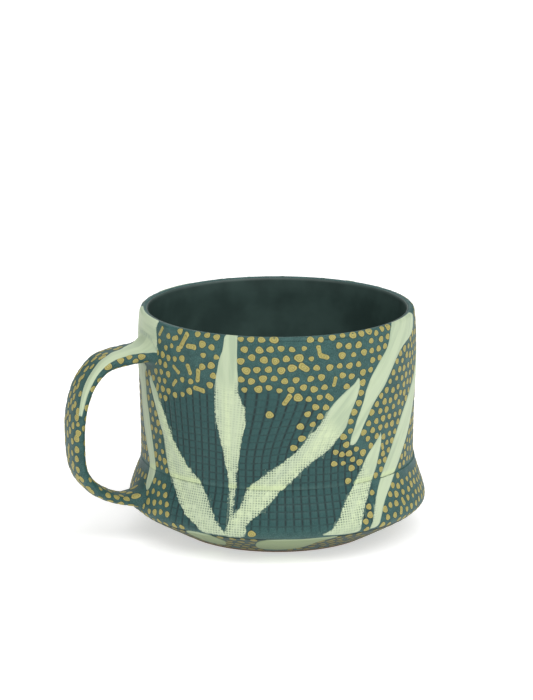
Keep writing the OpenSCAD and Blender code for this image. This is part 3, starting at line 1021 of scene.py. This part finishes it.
def leafLift(edge, full):
    return leaves["edgeThick"] + (full - leaves["edgeThick"]) * smooth(edge, 0, leaves["brushWide"])


def finishLeaf(piece, node, threadMap, brushMap, values):
    putMap(piece, "threads", threadMap)
    putMap(piece, "brush", brushMap)
    for name, value in values.items():
        putValue(piece, name, value)
    only(piece)
    thick = piece.modifiers.new("thickness", "SOLIDIFY")
    thick.thickness, thick.offset = leaves["depth"] * mm, -1
    bpy.ops.object.modifier_apply(modifier=thick.name)
    finishPiece(piece, 60, paleSlip, "leaf_slip", node)


def cutOut(piece, outside):
    # takes the marked faces away and keeps the largest part that's left
    only(piece)
    startEdit("DESELECT")
    bpy.ops.mesh.select_mode(type="FACE")
    stopEdit()
    piece.data.polygons.foreach_set("select", outside)
    bpy.ops.object.mode_set(mode="EDIT")
    bpy.ops.mesh.delete(type="FACE")
    bpy.ops.mesh.select_all(action="SELECT")
    bpy.ops.mesh.separate(type="LOOSE")
    bpy.ops.mesh.select_mode(type="VERT")
    stopEdit()
    scraps = sorted(bpy.context.selected_objects, key=lambda o: len(o.data.polygons))
    piece = scraps.pop()
    unselect()
    for scrap in scraps:
        scrap.select_set(True)
    if scraps:
        bpy.ops.object.delete()
    return piece


def makeLeaf(name, shapeName, turn, node, seed):
    shape = flatLeaves[shapeName]

    def field(u, v):
        return leafField(u, v, shape, turn, seed)

    low, high = shape.min(0) - leaves["around"], shape.max(0) + leaves["around"]
    high[1] = min(high[1], topRun)
    low[1] = max(low[1], 0.05)
    count = np.ceil((high - low) / leaves["cell"]).astype(int)
    piece, across, up = sheetPiece(name, int(count[0]), int(count[1]))
    c = coordsOf(piece)
    c[:, 0], c[:, 1] = low[0] + across * (high[0] - low[0]), low[1] + up * (high[1] - low[1])
    putCoords(piece, c)
    middles = np.empty(len(piece.data.polygons) * 3)
    piece.data.polygons.foreach_get("center", middles)
    middles = middles.reshape(-1, 3)
    piece = cutOut(piece, field(middles[:, 0], middles[:, 1]) < 0)
    piece.name = piece.data.name = name
    c = coordsOf(piece)
    rim = edgePoints(piece)
    p = c[rim, :2].copy()
    h = 0.04
    inTop = p[:, 1] > topRun - 0.01
    for _ in range(2):
        # each edge point steps towards the outline
        g = slopesOf(field, p[:, 0], p[:, 1], h, h)
        move = -field(p[:, 0], p[:, 1])[:, None] * g / np.maximum((g * g).sum(1), 0.3)[:, None]
        size = np.linalg.norm(move, axis=1)[:, None]
        move *= np.minimum(1, 0.5 * leaves["cell"] / np.maximum(size, 1e-9))
        move[inTop] = 0
        p += move
    p[:, 1] = np.clip(p[:, 1], 0.05, topRun)
    c[rim, :2] = p
    u, run = c[:, 0], c[:, 1]
    angle = u / degree + turn
    edge = np.maximum(insideDistance(u, run, shape), 0)
    edge[rim] = 0
    a, b = netCoords(angle, run)
    here = netAt(angle, run)
    full = leaves["thick"] - leaves["vary"] * seed % leaves["varyMost"]
    lift = leafLift(edge, full) - 0.75 * reliefAt(a, b, here)
    putCoords(piece, onBody(angle, run, np.maximum(lift, 0.03)) * mm)
    axis = np.linalg.svd(shape - shape.mean(0), full_matrices=False)[2][0]
    spot = c[:, :2] - shape.mean(0)
    finishLeaf(piece, node, np.stack([a / pitchUp, (b - seamRun) / net["rowPitch"]], 1),
               np.stack([spot @ axis, spot @ np.array([-axis[1], axis[0]]) + 40 * seed], 1),
               {"net": here, "edge": edge, "weave": here * (1 - 0.7 * smooth(run, seamRun + 2, seamRun + 20)),
                "seam": smooth(wrapped(angle - turn), 24, 36)})


for number, (shapeName, node) in enumerate(leafNodes.items()):
    makeLeaf(shapeName, shapeName, 0, node, 31 * number)
for number, (shapeName, node) in enumerate(backNodes.items()):
    makeLeaf(shapeName.replace("leaf", "leafBack"), shapeName, backTurn, node, 31 * number + 400)
print("leaves brushed on the body")

strapLeaf = {
    # spans along the strap, the section angle of the leaf's middle, and half its width in degrees
    "spans": [0.0, 0.33, 1.5, 3, 4, 5, 6, 6.8, 7.15],
    "middle": [98, 99, 110, 117, 129, 144, 156, 164, 167],
    "half": [66, 60, 40, 29, 25, 23, 20, 15, 11],
}


def strapLeafAt(t):
    return [np.interp(t, strapLeaf["spans"], strapLeaf[key]) for key in ("middle", "half")]


def makeStrapLeaf():
    piece, across, along = sheetPiece("leafOnHandle", 36, 150)
    t = along * strapLeaf["spans"][-1]
    middle, half = strapLeafAt(t)
    half = half + 2.5 * (roughLine(t * 2.1, 60 + 500 * (across > 0.5)) - 0.5)
    side = 2 * across - 1
    edge = np.minimum((1 - np.abs(side)) * half * 0.12, np.minimum((1 - along) * 30, along * 14))
    putCoords(piece, onStrap(t, middle + half * side, leafLift(edge, leaves["thick"])) * mm)
    only(piece)
    startEdit()
    bpy.ops.mesh.flip_normals()
    stopEdit()
    none = np.zeros(len(t))
    finishLeaf(piece, "leaf_on_handle", np.tile([0.0, 9.0], (len(t), 1)),
               np.stack([t * 4, side * half * 0.12], 1),
               {"net": none, "edge": edge, "weave": none, "seam": none})


makeStrapLeaf()
print("leaf brushed on the handle")

dots = {
    "sides": 12,
    "frontSize": 1.42,     # radius in mm with its dark outline
    "sideSize": 1.2,
    "handleSize": 1.1,
    "spread": 0.1,         # how much the sizes vary
    "frontApart": 4.0,
    "sideApart": 3.6,
    "handleApart": (3.7, 2.75),
    "keepOff": 1.15,       # from the leaves' edges
    "proud": 0.1,
    "rimProud": 0.02,
    "deep": 0.12,          # how far the underside is set into the clay
    "pillShare": 0.025,
    "stray": 0.62,         # mm that each place strays from its row
    "strayClear": 2.4,
    "pillClear": 3.3,
    "squeeze": 0.93,
    "nudge": 1.3,          # a dot nearer than this to being clear of a leaf moves off it
    # height, half width and half height round each end of the handle
    "handleClear": [(handle["top"] + 1, 8.5, 6), (handle["low"], 5.5, 3)],
}
# where no dots were put: the net, seen by angle and level
dotFree = flatShape([
    (-45, 0.9), (-46, 1.3), (-50, 1.7), (-54, 2.2), (-57.5, 2.48), (-40, 2.56), (-28, 2.61), (-14, 2.63),
    (0, 2.6), (8, 2.56), (10, 2.4), (5, 2.22), (18, 2.2), (24, 2.14), (30, 2.02), (36, 1.95), (38, 1.9),
    (36, 1.2), (34, 0.8), (10, 0.85), (-10, 0.95), (-24, 0.9)], 0)
strayDots = [
    (12.3, 2.5), (14.5, 2.43), (9.4, 2.42), (10, 2.34), (6.7, 2.28), (-3, 2.5), (-9.5, 0.97),
    (24.5, 2.23), (28, 2.15), (32, 2.11), (30.7, 2.21)]
# dots that ran together, by angle, level, turn in degrees and how far they stretch
pills = [
    (-41, 2.93, 62, 1.6), (-37, 2.9, 0, 0.8), (-45, 2.73, -35, 1.1), (-38, 2.75, -65, 0.8),
    (-33.5, 2.72, 85, 1), (-33, 2.63, -10, 1.1), (-46, 2.64, 50, 0.8), (-55.5, 2.95, 60, 1.1),
    (17, 2.91, 100, 0.9), (19, 2.87, -20, 0.7), (23.6, 2.7, 75, 0.9), (4, 2.6, 55, 0.9),
    (21.4, 2.6, -40, 0.45)]


def makeDot():
    # a low dome with a closed underside, 1 mm in radius
    unselect()
    bpy.ops.mesh.primitive_cylinder_add(vertices=dots["sides"], radius=1, depth=1, end_fill_type="TRIFAN",
                                        location=(0, 0, -0.5))
    piece = bpy.context.object
    bpy.ops.object.transform_apply(location=True, rotation=True, scale=True)
    startEdit("DESELECT")
    bpy.ops.mesh.select_mode(type="FACE")
    stopEdit()
    for face in piece.data.polygons:
        face.select = face.normal.z > 0.5
    bpy.ops.object.mode_set(mode="EDIT")
    bpy.ops.mesh.inset(thickness=0.22, depth=0.0)
    bpy.ops.mesh.select_mode(type="VERT")
    stopEdit()
    return piece


dotModel = makeDot()
dotPoints = coordsOf(dotModel)
dotReach = np.hypot(dotPoints[:, 0], dotPoints[:, 1])
dotTop = dotPoints[:, 2] > -0.5
dotLift = np.where(dotReach > 0.9, dots["rimProud"], np.where(dotReach > 0.5, 0.85, 1.0) * dots["proud"])
dotLift = np.where(dotTop, dotLift, -dots["deep"])


def leafGap(angle, run):
    # how far a place on the body is from the nearest leaf
    best = np.full(np.shape(angle), 99.0)
    for name, shape in flatLeaves.items():
        for turn in (0, backTurn) if name in backNodes else (0,):
            around = wrapped(angle - turn)
            best = np.minimum(best, -insideDistance(around * degree, run, shape))
            # this one runs on past the back
            if name == "leafFarRight":
                best = np.minimum(best, -insideDistance((around + 360) * degree, run, shape))
    return best


def dotOutline(x, y, wide, tall, turn, pill):
    # the dot's points in mm on the flat: wide and tall are radii, pill stretches it
    off = np.abs(x) > 0.2
    stretch = np.where(off, np.sign(x), 0) * pill
    px, py = x * wide + stretch * wide, y * tall * np.where(off, 1, 1 - 0.25 * min(pill, 1))
    ca, sa = math.cos(turn), math.sin(turn)
    return px * ca - py * sa, px * sa + py * ca


def stampDots(name, places, surface):
    # each place is x, y in mm on the flat, then the dot's radii, turn and pill
    copies = []
    for u, v, wide, tall, turn, pill in places:
        wave = 1 + 0.09 * np.sin(np.arctan2(dotPoints[:, 1], dotPoints[:, 0]) * 3 + u * 7.7) * dotReach
        px, py = dotOutline(dotPoints[:, 0] * wave, dotPoints[:, 1] * wave, wide, tall, turn, pill)
        mesh = dotModel.data.copy()
        mesh.vertices.foreach_set("co", (surface(u, v, px, py, dotLift) * mm).ravel())
        copy = bpy.data.objects.new(name, mesh)
        bpy.context.scene.collection.objects.link(copy)
        copies.append(copy)
    unselect()
    for copy in copies:
        copy.select_set(True)
    bpy.context.view_layer.objects.active = copies[0]
    bpy.ops.object.join()
    piece = bpy.context.object
    piece.name = piece.data.name = name
    putMap(piece, "disc", np.tile(dotPoints[:, :2], (len(places), 1)))
    finishPiece(piece, 60, khakiSlip, "teal_stoneware")


def onWall(u, v, x, y, lift):
    angle = u + np.degrees(x / radiusAt(v))
    return onBody(angle, v + y, lift)


def staggered(wide, tall, low, high, left, right):
    # rows of places, each row set half a step over
    places = []
    for row, v in enumerate(np.arange(high, low, -tall)):
        u = np.arange(left + (row % 2) * wide / 2, right, wide)
        places.append(np.stack([u, np.full(len(u), v)], 1))
    return np.vstack(places)


def pushedApart(places, gap, fixed, rounds):
    # neighbours nearer than gap move apart; the first ones stay
    p = places.copy()
    for _ in range(rounds):
        d = p[:, None] - p[None]
        far = np.linalg.norm(d, axis=2) + 1e-6
        near = (far < gap[:, None]) & (far > 1e-5)
        push = (np.where(near, (gap[:, None] - far) / far, 0)[..., None] * d).sum(1) * 0.3
        push[:fixed] = 0
        p += push
    return p


def sideness(angle):
    return smooth(np.abs(wrapped(angle)), 30, 48)


def placesRound():
    # every dot on the body, in mm round from the front and mm up
    given = strayDots + [pill[:2] for pill in pills]
    fixed = np.array([(a * degree, float(levelRun(level))) for a, level in given])
    low, high, half = levelRun(0.1), topRun - 1.5, 180 * degree
    front = staggered(dots["frontApart"], dots["frontApart"] * 0.85, low, high, -39 * degree, 39 * degree)
    side = dots["sideApart"]
    sides = np.vstack([staggered(side, side * 0.87, low, high, -half, -40.5 * degree),
                       staggered(side, side * 0.87, low, high, 40.5 * degree, half - 1)])
    loose = np.vstack([front, sides])
    loose = loose + chance.normal(0, dots["stray"], loose.shape)
    clear = np.ones(len(loose), bool)
    sizes = [dots["strayClear"]] * len(strayDots) + [dots["pillClear"]] * len(pills)
    for place, size in zip(fixed, sizes):
        clear &= np.linalg.norm(loose - place, axis=1) > size
    p = np.vstack([fixed, loose[clear]])
    for _ in range(4):
        gap = dots["frontApart"] + (dots["sideApart"] - dots["frontApart"]) * sideness(p[:, 0] / degree)
        p = pushedApart(p, gap * dots["squeeze"], len(fixed), 2)
        # a dot that is only just on a leaf moves off it
        angle, run = p[:, 0] / degree, p[:, 1]
        h = 0.2
        off = dots["keepOff"] - leafGap(angle, run)
        g = slopesOf(leafGap, angle, run, h / degree, h)
        move = np.where((off > 0) & (off < dots["nudge"]), off, 0)[:, None] * g
        move[:len(fixed)] = 0
        p += move
    angle, run = p[:, 0] / degree, p[:, 1]
    keep = leafGap(angle, run) > dots["keepOff"] - 0.35
    keep &= (np.abs(run - seamRun) > 1.3) & (run < topRun - 1) & (run > low)
    for turn in (0, backTurn):
        keep &= insideDistance(wrapped(angle - turn) * degree, run, dotFree) < 0
    spot = onBody(angle, run, 0)
    for height, wide, tall in dots["handleClear"]:
        keep &= ~((spot[:, 0] < 0) & (np.abs(spot[:, 1]) < wide) & (np.abs(spot[:, 2] - height) < tall))
    keep[:len(fixed)] = True
    return p[keep], len(strayDots), len(fixed)


def makeBodyDots():
    groups = {"wallDots": [], "skirtDots": [], "baseDots": []}
    jointRun = runAt(jointHeight)
    places, firstPill, firstLoose = placesRound()
    for number, (u, run) in enumerate(places):
        angle = u / degree
        aside = float(sideness(angle))
        size = dots["frontSize"] + (dots["sideSize"] - dots["frontSize"]) * aside
        size *= 1 + dots["spread"] * chance.standard_normal()
        tall = size * (chance.uniform(0.8, 0.92) + 0.12 * aside)
        turn, pill = math.radians(chance.uniform(-22, 22)), 0
        if firstPill <= number < firstLoose:
            turn, pill = pills[number - firstPill][2:]
            turn = math.radians(turn)
        elif chance.random() < dots["pillShare"]:
            turn, pill = math.radians(chance.choice([70, 110, 20, -35, 55])), 0.45
        if pill:
            size, tall = size * 0.9, size * 0.78
        where = "wallDots" if run > seamRun else "skirtDots" if run > jointRun else "baseDots"
        groups[where].append((angle, run, size, tall, turn, pill))
    for name, found in groups.items():
        stampDots(name, found, onWall)
        print(name, len(found))


def makeStrapDots():
    t = np.linspace(0, strapEnd, 1400)
    line = strapAt(t)
    along = np.concatenate([[0], np.cumsum(np.hypot(*np.diff(line[:, :2], axis=0).T))])

    def reachAt(u, v):
        # mm of the strap's surface to a degree of its section
        here = np.interp(u, along, t)
        return np.linalg.norm(onStrap(here, v + 6, 0) - onStrap(here, v - 6, 0), axis=-1) / 12

    def onHandle(u, v, x, y, lift):
        return onStrap(np.interp(u + x, along, t), v + y / reachAt(u, v), lift)

    found = []
    step, gap = dots["handleApart"]
    # walk round the section in each row and leave a dot at every gap
    angles = np.arange(0, 360, 2.0)
    for row, u0 in enumerate(np.arange(2.4, along[-1] - 1.6, step / 2), 1):
        mmRound = np.concatenate([[0], np.cumsum(reachAt(np.full(180, u0), angles)[:-1] * 2)])
        count = int(round((mmRound[-1] + 1) / (gap * 2)))
        for k in range(count):
            at = (k + 0.5 * (row % 2) + 0.25 + 0.12 * chance.standard_normal()) / count * (mmRound[-1] + 0.5)
            u, v = u0 + 0.3 * chance.standard_normal(), float(np.interp(at, mmRound, angles))
            here = float(np.interp(u, along, t))
            middle, half = strapLeafAt(here)
            if here < strapLeaf["spans"][-1] + 0.25 and abs(wrapped(v - middle)) < half + 7:
                continue
            size = dots["handleSize"] * (1 + dots["spread"] * chance.standard_normal())
            found.append((u, v, size * 1.2, size * 0.95, 0.0, 0))
    stampDots("handleDots", found, onHandle)
    print("handleDots", len(found))


makeBodyDots()
makeStrapDots()
bpy.data.objects.remove(dotModel)
print("dots stamped")

studio = {
    "floor": (0.74, 0.74, 0.74, 1.0),
    "floorGlow": 0.52,     # the sweep is lit from behind too
    "world": 0.35,
    "sun": {"strength": 1.7, "soft": 60, "from": (0.1, -0.75, 1.1)},
    # name, place, width, height, power
    "lamps": [
        ("right", (0.9, -0.5, 0.8), 0.35, 0.9, 2.2),
        ("left", (-0.8, -0.3, 0.9), 0.4, 0.9, 2.6),
        ("back", (0.2, 1.1, 0.8), 0.8, 0.8, 2.6)],
}


def aimed(place, target=(0, 0, 0.04)):
    to = np.array(target) - np.array(place)
    return (math.pi / 2 + math.atan2(to[2], math.hypot(to[0], to[1])), 0, math.atan2(-to[0], to[1]))


def makeStudio():
    bpy.ops.mesh.primitive_plane_add(size=12)
    floor = bpy.context.object
    floor.name = "floor"
    f = Finish("whiteSweep")
    cloud = f.noise(3, 2, 0.5)
    floor.data.materials.append(f.surface({
        "Base Color": studio["floor"], "Roughness": 0.85 + 0.05 * cloud, "Specular IOR Level": 0.1,
        "Emission Color": (1.0, 1.0, 1.0, 1.0), "Emission Strength": studio["floorGlow"]}))
    world = bpy.data.worlds.new("studio")
    bpy.context.scene.world = world
    world.use_nodes = True
    back = world.node_tree.nodes["Background"]
    back.inputs["Color"].default_value = (1.0, 1.0, 1.0, 1.0)
    # the backdrop looks white, and lights the mug less than that
    seen = world.node_tree.nodes.new("ShaderNodeLightPath")
    level = world.node_tree.nodes.new("ShaderNodeMapRange")
    level.inputs["To Min"].default_value, level.inputs["To Max"].default_value = studio["world"], 1.0
    world.node_tree.links.new(seen.outputs["Is Camera Ray"], level.inputs["Value"])
    world.node_tree.links.new(level.outputs[0], back.inputs["Strength"])
    sun = studio["sun"]
    bpy.ops.object.light_add(type="SUN", location=sun["from"], rotation=aimed(sun["from"]))
    bpy.context.object.data.energy = sun["strength"]
    bpy.context.object.data.angle = math.radians(sun["soft"])
    for name, place, wide, tall, power in studio["lamps"]:
        bpy.ops.object.light_add(type="AREA", location=place, rotation=aimed(place))
        lamp = bpy.context.object
        lamp.name = name
        lamp.data.shape = "RECTANGLE"
        lamp.data.size, lamp.data.size_y, lamp.data.energy = wide, tall, power
    bpy.context.scene.view_settings.view_transform = "Standard"


makeStudio()
print("studio lit")
